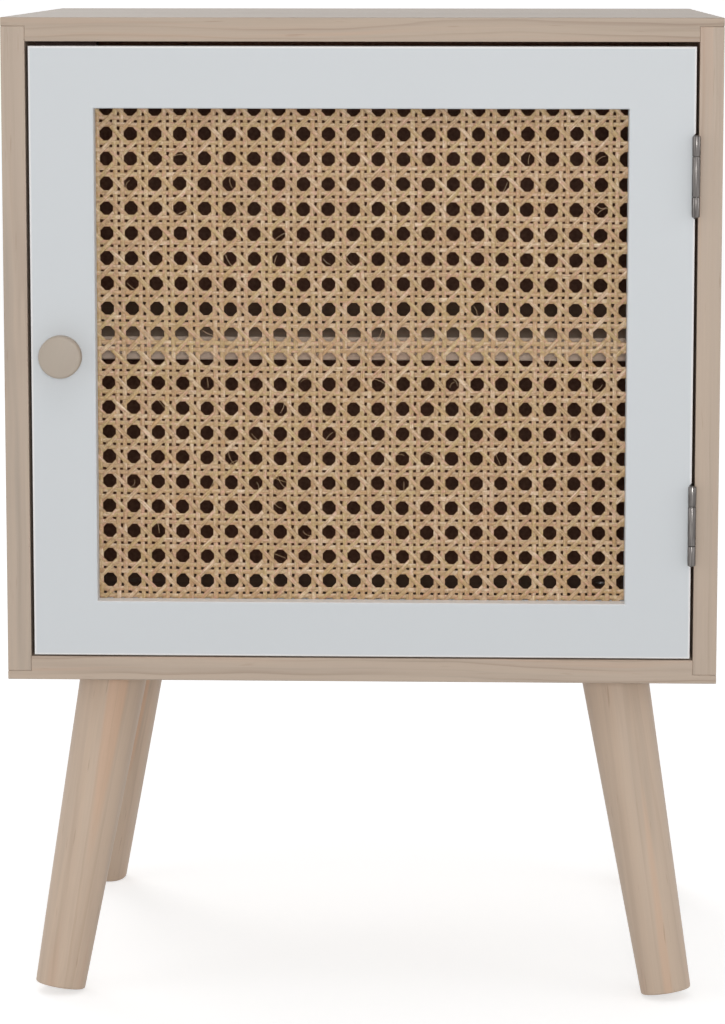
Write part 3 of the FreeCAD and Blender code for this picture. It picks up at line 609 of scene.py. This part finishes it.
PITCH_X = 0.0145
PITCH_Z = 0.01473
UPRIGHT_HALF = 0.00204
LEVEL_HALF = 0.00200
STRAND_WIDTH = 0.00270
STRAND_THICKNESS = 0.00044
STRAND_CROWN = 0.00026
STRAND_ROLL = 0.05
STRAND_TWIST = 0.08
STRAND_CREASE = 50
PAIR_LEVEL = 0.00022
SLANT_LEVEL = 0.00046
SLANT_STEEPNESS = 2.4
FIRST_HOLE_X = 0.0063
FIRST_HOLE_Z = 0.0112
WANDER = 0.00028
WEB_PULL = 0.0012
BROAD_PULL = 0.0010
FINE_PULL = 0.00025
LOOSE_FIBRES = 46
LOOSE_FIBRE_WIDTH = 0.00024
LOOSE_FIBRE_THICKNESS = 0.00014
LOOSE_FIBRE_LIFT = 0.0002
LOOSE_FIBRE_BOW = 0.0014
CANE_TAN = (0.485, 0.312, 0.166)
CANE_STRAW = (0.495, 0.350, 0.155)
CANE_PINK = (0.580, 0.322, 0.220)
CANE_AMBER = (0.520, 0.285, 0.130)
CANE_CREAM = (0.740, 0.560, 0.390)
CANE_DULL = (0.330, 0.200, 0.110)

cane_low, cane_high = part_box("cane_panel")
cane_middle = (cane_low.y + cane_high.y) / 2
first_hole_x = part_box("left_cane_strip")[1].x + FIRST_HOLE_X
first_hole_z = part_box("lower_cane_strip")[1].z + FIRST_HOLE_Z
crossing_x = first_hole_x - PITCH_X / 2
crossing_z = first_hole_z - PITCH_Z / 2

cane, tree, shader = new_finish("split_cane", Specular_IOR_Level=0.4)
strand = add_node(tree, "Attribute", attribute_name="strand").outputs["Vector"]
across_strand = part_of(tree, strand, "Z")
by_strand = speckle(tree, strand, (1.37, 9.0, 0.0), 1.0)
by_stretch = speckle(tree, strand, (2.71, 75.0, 0.3))
spots = speckle(tree, strand, (5.13, 310.0, 0.8))
streak = speckle(tree, strand, (7.7, 70.0, 3.2), 3.0)
mottle = speckle(tree, object_place(tree), (1500, 1500, 1500))
blotch = speckle(tree, object_place(tree), (520, 520, 520))
tone = mixed(tree, level(tree, by_strand, 0.40, 0.62, 0.0, 0.8), CANE_TAN, CANE_STRAW)
tone = mixed(tree, level(tree, by_stretch, 0.52, 0.70, 0.0, 0.75), tone, CANE_CREAM)
tone = mixed(tree, level(tree, by_stretch, 0.46, 0.30, 0.0, 0.50), tone, CANE_AMBER)
tone = mixed(tree, level(tree, spots, 0.54, 0.66, 0.0, 0.80), tone, CANE_PINK)
tone = mixed(tree, level(tree, blotch, 0.45, 0.32, 0.0, 0.55), tone, CANE_DULL)
tone = mixed(tree, level(tree, blotch, 0.58, 0.70, 0.0, 0.45), tone, CANE_CREAM)
# Streaks along the strands, darker and paler: partly the strands' own streaks, and at their whitest a
# painted highlight of their glossy skin.
streak_and_highlight_stops = [(0.28, (0.75, 0.72, 0.66)), (0.45, (0.98, 0.98, 0.98)),
              (0.58, (1.04, 1.06, 1.09)), (0.70, (1.24, 1.32, 1.48))]
lines = graded(tree, streak, streak_and_highlight_stops)
grain = graded(tree, mottle, [(0.32, (0.86, 0.85, 0.84)), (0.68, (1.12, 1.12, 1.12))])
tone = multiplied(tree, multiplied(tree, tone, lines), grain)
# The strands' edges and side walls are darkened: painted shade between the strands.
painted_rim_shade_stops = [(0.0, NO_TINT), (0.86, (0.99, 0.985, 0.98)), (1.0, (0.36, 0.27, 0.20))]
painted_rim_shade = graded(tree, maths(tree, "ABSOLUTE", across_strand), painted_rim_shade_stops)
tree.links.new(multiplied(tree, tone, painted_rim_shade), shader.inputs["Base Color"])
tree.links.new(level(tree, streak, 0.3, 0.7, 0.50, 0.32), shader.inputs["Roughness"])
dent(tree, shader, streak, 0.25, 0.00008)


def uneven_web(x, z):
    """How far the web is pulled out of true at a place of the panel, across and up."""
    across = BROAD_PULL * noise.noise((x * 9, z * 9, 4.2)) + FINE_PULL * noise.noise((x * 60, z * 60, 1.7))
    up = BROAD_PULL * noise.noise((x * 9, z * 9, 8.4)) + FINE_PULL * noise.noise((x * 60, z * 60, 6.1))
    return across, up


def lay_strand(mesh, number, stations, width, thickness, middle, side):
    """One flat strand as a thin closed bar with a rib at each station along it. The middle is a function
    that gives the place across, the place up and how far the strand stands forward there."""
    mark = mesh.verts.layers.float_vector["strand"]
    ribs = len(stations) - 1
    blank = bmesh.ops.create_grid(mesh, x_segments=3, y_segments=ribs, size=1)["verts"]
    faces = list({face for vert in blank for face in vert.link_faces})
    shell = bmesh.ops.solidify(mesh, geom=faces, thickness=1)["geom"]
    roll = random.uniform(-STRAND_ROLL, STRAND_ROLL)
    for vert in {part for part in blank + shell if isinstance(part, bmesh.types.BMVert)}:
        across, outer = vert.co.x, vert.co.z + 0.5
        run = stations[round((vert.co.y + 1) / 2 * ribs)]
        x, z, forward = middle(run)
        drift = WANDER * noise.noise((run * 70, number * 3.7, 1.3))
        half = width / 2 * (1 + 0.08 * noise.noise((run * 110, number * 5.1, 7.9)))
        x += side[0] * (drift + across * half)
        z += side[1] * (drift + across * half)
        shift_x, shift_z = uneven_web(x, z)
        forward += outer * thickness - STRAND_CROWN * across * across * (outer + 0.5)
        forward += across * half * (roll + STRAND_TWIST * noise.noise((run * 55, number * 2.3, 3.1)))
        vert.co = (x + shift_x, cane_middle - forward, z + shift_z)
        vert[mark] = (number, run, across)


def repeats(low, high, first, pitch):
    """Numbers for what stands a pitch apart, the first at 0, from before a low place to past a high one."""
    return range(math.floor((low - first) / pitch) - 1, math.ceil((high - first) / pitch) + 1)


def slant_forward(phase):
    """How far a slanting strand stands forward. The phase is 0 over a pair of uprights, and 0.5 over a
    pair of levels."""
    wave = math.cos(math.tau * phase)
    return SLANT_LEVEL * math.tanh(SLANT_STEEPNESS * wave) / math.tanh(SLANT_STEEPNESS)


def pair_forward(near, sign, crossed_half):
    """How far an upright or level strand stands forward near a crossing of pairs."""
    if abs(near) > crossed_half + STRAND_WIDTH * 0.9:
        return 0.0
    return sign * PAIR_LEVEL * max(-1.0, min(1.0, near / (crossed_half * 0.6)))


def straight_stations(low, high, first, pitch, crossed_half):
    """Ribs along an upright or level strand: both sides of every crossing of pairs, and half way between."""
    outer, inner = crossed_half + STRAND_WIDTH / 2, crossed_half * 0.5
    places = [low, high]
    for index in repeats(low, high, first, pitch):
        places += [first + index * pitch + offset for offset in (-outer, -inner, inner, outer, pitch / 2)]
    return sorted(place for place in places if low <= place <= high)


def straight_strands(along, across, upright):
    """All upright or all level strands as one piece. Along and across each hold the panel's low and high
    edge, the first crossing, the pitch and half of a pair."""
    random.seed(7 if upright else 11)
    mesh = bmesh.new()
    mesh.verts.layers.float_vector.new("strand")
    low, high, first, pitch, crossed_half = along
    stations = straight_stations(low, high, first, pitch, crossed_half)
    low_place, high_place, first_place, place_pitch, pair_half = across
    margin = STRAND_WIDTH / 2 + 2 * WANDER + WEB_PULL
    side = (1, 0) if upright else (0, 1)
    number = 0 if upright else 100
    for pair in repeats(low_place, high_place, first_place, place_pitch):
        for half in (-1, 1):
            place = first_place + pair * place_pitch + half * pair_half
            if not low_place + margin < place < high_place - margin:
                continue

            def middle(run):
                near = (run - first + pitch / 2) % pitch - pitch / 2
                forward = pair_forward(near, half, crossed_half)
                return (place, run, forward) if upright else (run, place, -forward)

            width = STRAND_WIDTH * random.uniform(0.94, 1.04)
            lay_strand(mesh, number, stations, width, STRAND_THICKNESS, middle, side)
            number += 1
    return mesh


def slanting_strands(rising):
    """All strands on one slant. Rising ones pass over the levels, and falling ones over the uprights."""
    random.seed(17 if rising else 23)
    mesh = bmesh.new()
    mesh.verts.layers.float_vector.new("strand")
    margin = STRAND_WIDTH / 2 + WEB_PULL
    low_x, high_x = cane_low.x + margin, cane_high.x - margin
    low_z, high_z = cane_low.z + margin, cane_high.z - margin
    slope = PITCH_Z / PITCH_X * (1 if rising else -1)
    length_per_x = math.hypot(1, slope)
    side = (-slope / length_per_x, 1 / length_per_x)
    number = 200 if rising else 300
    count = math.ceil((high_x - low_x) / PITCH_X + (high_z - low_z) / PITCH_Z) + 2
    for index in range(-count, count):
        base_x = crossing_x + (index + 0.5) * PITCH_X
        reach = sorted((base_x + (low_z - crossing_z) / slope, base_x + (high_z - crossing_z) / slope))
        start, end = max(low_x, reach[0]), min(high_x, reach[1])
        if end - start < STRAND_WIDTH:
            continue
        places = [start, end]
        for step in repeats(start, end, crossing_x, PITCH_X / 2):
            for share in (-0.40, -0.30, 0.0, 0.30, 0.40, 0.5):
                places.append(crossing_x + (step + share) * PITCH_X / 2)
        stations = sorted(place for place in places if start <= place <= end)

        def middle(x):
            z = crossing_z + (x - base_x) * slope
            forward = slant_forward((x - crossing_x) / PITCH_X)
            return x, z, -forward if rising else forward

        width = STRAND_WIDTH * random.uniform(0.92, 1.04)
        lay_strand(mesh, number, stations, width, STRAND_THICKNESS, middle, side)
        number += 1
    return mesh


def loose_fibres():
    """Thin fibres that have come away from the strands, each across a hole of the web."""
    random.seed(31)
    mesh = bmesh.new()
    mesh.verts.layers.float_vector.new("strand")
    for number in range(LOOSE_FIBRES):
        column, row = random.randrange(1, 21), random.randrange(1, 19)
        centre_x = first_hole_x + column * PITCH_X + random.uniform(-0.002, 0.002)
        centre_z = first_hole_z + row * PITCH_Z + random.uniform(-0.003, 0.003)
        heading = random.uniform(0, math.tau)
        reach = random.uniform(0.0022, 0.0048)
        bow = random.uniform(-LOOSE_FIBRE_BOW, LOOSE_FIBRE_BOW)
        along = (math.cos(heading), math.sin(heading))
        side = (-along[1], along[0])

        def middle(run):
            curve = bow * (1 - (run / reach) ** 2)
            x = centre_x + along[0] * run + side[0] * curve
            z = centre_z + along[1] * run + side[1] * curve
            return x, z, LOOSE_FIBRE_LIFT

        stations = [reach * (step / 4 - 1) for step in range(9)]
        lay_strand(mesh, 400 + number, stations, LOOSE_FIBRE_WIDTH, LOOSE_FIBRE_THICKNESS, middle, side)
    return mesh


def cane_piece(mesh, name):
    """Closes a group of strands or fibres, which rides on the door."""
    bmesh.ops.recalc_face_normals(mesh, faces=mesh.faces)
    piece = finished(mesh, name, cane, "door", crease=STRAND_CREASE)
    return piece


across_web = (cane_low.x, cane_high.x, crossing_x, PITCH_X, UPRIGHT_HALF)
up_web = (cane_low.z, cane_high.z, crossing_z, PITCH_Z, LEVEL_HALF)
woven = {
    "cane_upright_strands": straight_strands(up_web, across_web, upright=True),
    "cane_level_strands": straight_strands(across_web, up_web, upright=False),
    "cane_rising_strands": slanting_strands(rising=True),
    "cane_falling_strands": slanting_strands(rising=False),
}
for name, mesh in woven.items():
    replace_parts(cane_piece(mesh, name), "cane_panel")
cane_piece(loose_fibres(), "cane_loose_fibres")

# ---------------------------------------------------------------------------------------------------
# Cane strips. Four painted strips that press the cane into the rebate behind the window, each held with
# three brads.

dress_nodes(paint, "upper_cane_strip", "lower_cane_strip", "left_cane_strip", "right_cane_strip")
dress_nodes(zinc, "cane_strip_brads")

# ---------------------------------------------------------------------------------------------------
# Knob. Turned from pale pine with a flat, barely domed face, and held by a screw from behind the door.

KNOB_PROJECTION = 0.020
KNOB_RADIUS = 0.0125
KNOB_NECK_RADIUS = 0.0075
KNOB_NECK = 0.0048
KNOB_UNDERSIDE = 0.011
KNOB_ARRIS = 0.0016
KNOB_DOME = 0.0006
KNOB_STEPS = 96
KNOB_GRAIN = (0.35, 0, 1)
KNOB_PITH_OFFSET = (0.06, 0.02, 0)
KNOB_RINGS = 40
KNOB_WASH = 1.25
KNOB_TINT = (0.87, 0.91, 0.93)
ALONG_Y = Vector((0, 1, 0))


def quarter_turn(steps):
    """The angles of a quarter turn's steps."""
    return [math.radians(90 * step / steps) for step in range(1, steps + 1)]


knob_low, knob_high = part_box("door_knob")
knob_axis = Vector(((knob_low.x + knob_high.x) / 2, knob_high.y, (knob_low.z + knob_high.z) / 2))
face_radius = KNOB_RADIUS - KNOB_ARRIS
face_height = KNOB_PROJECTION - KNOB_DOME
profile = [(0.0, 0.0), (KNOB_NECK_RADIUS, 0.0), (KNOB_NECK_RADIUS, KNOB_NECK)]
for turn in quarter_turn(4):
    radius = KNOB_NECK_RADIUS + (face_radius - KNOB_NECK_RADIUS) * (1 - math.cos(turn))
    profile.append((radius, KNOB_NECK + (KNOB_UNDERSIDE - KNOB_NECK) * math.sin(turn)))
for turn in quarter_turn(5):
    radius = KNOB_RADIUS - KNOB_ARRIS * (1 - math.sin(turn))
    profile.append((radius, KNOB_UNDERSIDE + KNOB_ARRIS * (1 - math.cos(turn))))
for turn in (0.0, *quarter_turn(5)):
    radius = KNOB_RADIUS - KNOB_ARRIS * (1 - math.cos(turn))
    profile.append((radius, face_height - KNOB_ARRIS * (1 - math.sin(turn))))
for step in range(1, 5):
    radius = face_radius * (1 - step / 4)
    profile.append((radius, KNOB_PROJECTION - KNOB_DOME * (radius / face_radius) ** 2))
mesh = bmesh.new()
ring = [mesh.verts.new(knob_axis + Vector((radius, -height, 0))) for radius, height in profile]
for first, second in zip(ring, ring[1:]):
    mesh.edges.new((first, second))
bmesh.ops.spin(mesh, geom=mesh.verts[:] + mesh.edges[:], cent=knob_axis, axis=ALONG_Y, dvec=(0, 0, 0),
               angle=math.tau, steps=KNOB_STEPS, use_merge=True)
bmesh.ops.remove_doubles(mesh, verts=mesh.verts, dist=WELD)
bmesh.ops.recalc_face_normals(mesh, faces=mesh.faces)
knob_pith = knob_axis + Vector(KNOB_PITH_OFFSET)
knob_pine = pine_finish("knob_pine", Vector(KNOB_GRAIN).normalized(), knob_pith, wash=KNOB_WASH,
                        rings=KNOB_RINGS, tint=KNOB_TINT)
knob = finished(mesh, "turned_knob", knob_pine, "door", crease=35)
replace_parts(knob, "door_knob")
crossed_screws("knob_screw", ALONG_Y, "door")

# ---------------------------------------------------------------------------------------------------
# Hinges. Two steel butt hinges with a dull nickel finish, whose barrels stand in front of the face at
# the right, screwed to the side panel and to the edge of the door.

NICKEL_DARK = (0.070, 0.063, 0.060)
NICKEL_PALE = (0.230, 0.213, 0.203)
LEAF_EASE = 0.00022
LEAF_EDGE = 50

# Lengthwise streaks of darker and paler nickel: rubbed wear, and also a painted reflection.
nickel_stops = [(0.3, NICKEL_DARK), (0.7, NICKEL_PALE)]
nickel, tree, shader, streaked_wear_and_reflection = speckled_finish("dull_nickel", (1800, 1800, 70), nickel_stops, 3.0, Metallic=1.0)
tree.links.new(level(tree, streaked_wear_and_reflection, 0.3, 0.7, 0.38, 0.24), shader.inputs["Roughness"])
dent(tree, shader, streaked_wear_and_reflection, 0.15, 0.00004)


def eased_leaf(node, body):
    """A hinge leaf with the burr taken off its edges and off the ends of its knuckles."""
    mesh = merged_copy(node)
    edges = sharp_edges(mesh, LEAF_EDGE)
    bmesh.ops.bevel(mesh, geom=edges, offset=LEAF_EASE, segments=2, profile=0.5, affect="EDGES", material=-1)
    leaf = finished(mesh, node + "_eased", nickel, body, crease=35)
    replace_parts(leaf, node)


for hinge in ("upper", "lower"):
    eased_leaf(hinge + "_hinge_cabinet_leaf", "cabinet")
    eased_leaf(hinge + "_hinge_door_leaf", "door")
    dress_nodes(nickel, hinge + "_hinge_pin")
crossed_screws("hinge_cabinet_screws", -ALONG_X, "cabinet")
crossed_screws("hinge_door_screws", ALONG_X, "door")

# ---------------------------------------------------------------------------------------------------
# Strike plate. A small steel plate screwed to the back of the door, which the magnet holds.

dress_nodes(zinc, "catch_strike_plate")
crossed_screws("strike_screws", ALONG_Y, "door")

# ---------------------------------------------------------------------------------------------------
# Studio. A pale floor in an even white room, a small soft lamp close to the camera, three larger ones at
# the sides and above, one behind, and the camera a little above the cabinet's top, looking slightly down.

ROOM_LIGHT = 0.52
LAMP_AIM = (0, 0, 0.33)
FLOOR_COLOUR = (0.66, 0.66, 0.66)
FLOOR_DARKER = 0.99
FLOOR_GLOW = 0.57
FAR_FLOOR_GLOW = 0.66
FAR_FLOOR = (2.0, 7.0)
FLOOR_REACH = 60.0
EYE = (0.0600, -2.0651, 0.6290)
PITCH_DOWN = 6.850
TURN_LEFT = 1.761
TILT = 0.016
LENS = 116.40
LIFT = -0.16
FARTHEST_SEEN = 200

lamps = {
    "front_lamp": dict(place=(0.11, -2.25, 0.69), width=0.28, power=12.2),
    "right_lamp": dict(place=(2.2, -0.8, 0.9), width=1.3, power=6.6),
    "left_lamp": dict(place=(-2.2, -0.8, 0.8), width=1.3, power=7.4),
    "top_lamp": dict(place=(0.1, -1.2, 2.1), width=1.2, power=3.8),
    "back_lamp": dict(place=(-1.1, 2.0, 2.4), width=1.4, power=20.0),
}


def seen_directly(tree):
    """1 where the eye, a reflection or something clear looks straight at a surface."""
    path = add_node(tree, "LightPath")
    seen = path.outputs["Is Camera Ray"]
    for kind in ("Is Glossy Ray", "Is Transmission Ray"):
        seen = maths(tree, "MAXIMUM", seen, path.outputs[kind])
    return seen


def soft_lamp(name, place, width, power):
    """A square lamp that faces the middle of the object."""
    data = bpy.data.lights.new(name, "AREA")
    data.energy = power
    data.size = width
    lamp = placed(name, data)
    lamp.location = place
    lamp.rotation_euler = (Vector(LAMP_AIM) - Vector(place)).to_track_quat("-Z", "Y").to_euler()


mesh = bmesh.new()
bmesh.ops.create_circle(mesh, cap_ends=True, segments=64, radius=FLOOR_REACH)
floor = placed("studio_floor", mesh_data(mesh, "studio_floor"))
floor_stops = [(0.3, tinted(FLOOR_COLOUR, FLOOR_DARKER)), (0.7, FLOOR_COLOUR)]
floor_finish, tree, shader = speckled_finish("pale_floor", (2, 2, 2), floor_stops, Roughness=0.9,
                                             Specular_IOR_Level=0.1)[:3]
shader.inputs["Emission Color"].default_value = (1, 1, 1, 1)
glow = level(tree, size_of(tree, object_place(tree)), *FAR_FLOOR, FLOOR_GLOW, FAR_FLOOR_GLOW)
tree.links.new(maths(tree, "MULTIPLY", seen_directly(tree), glow), shader.inputs["Emission Strength"])
dress(floor, floor_finish)

world = bpy.data.worlds.new("white_room")
world.use_nodes = True
tree = world.node_tree
background = tree.nodes["Background"]
background.inputs["Color"].default_value = (1, 1, 1, 1)
tree.links.new(level(tree, seen_directly(tree), 0.0, 1.0, ROOM_LIGHT, 1.0), background.inputs["Strength"])
bpy.context.scene.world = world

for name, settings in lamps.items():
    soft_lamp(name, **settings)

camera_data = bpy.data.cameras.new("camera")
camera_data.lens = LENS
camera_data.shift_y = LIFT
camera_data.clip_end = FARTHEST_SEEN
camera = placed("camera", camera_data)
yaw = Matrix.Rotation(math.radians(TURN_LEFT), 4, "Z")
pitch = Matrix.Rotation(math.radians(90 - PITCH_DOWN), 4, "X")
roll = Matrix.Rotation(math.radians(TILT), 4, "Z")
camera.matrix_world = Matrix.Translation(EYE) @ yaw @ pitch @ roll
bpy.context.scene.camera = camera
bpy.context.scene.view_settings.view_transform = "Standard"
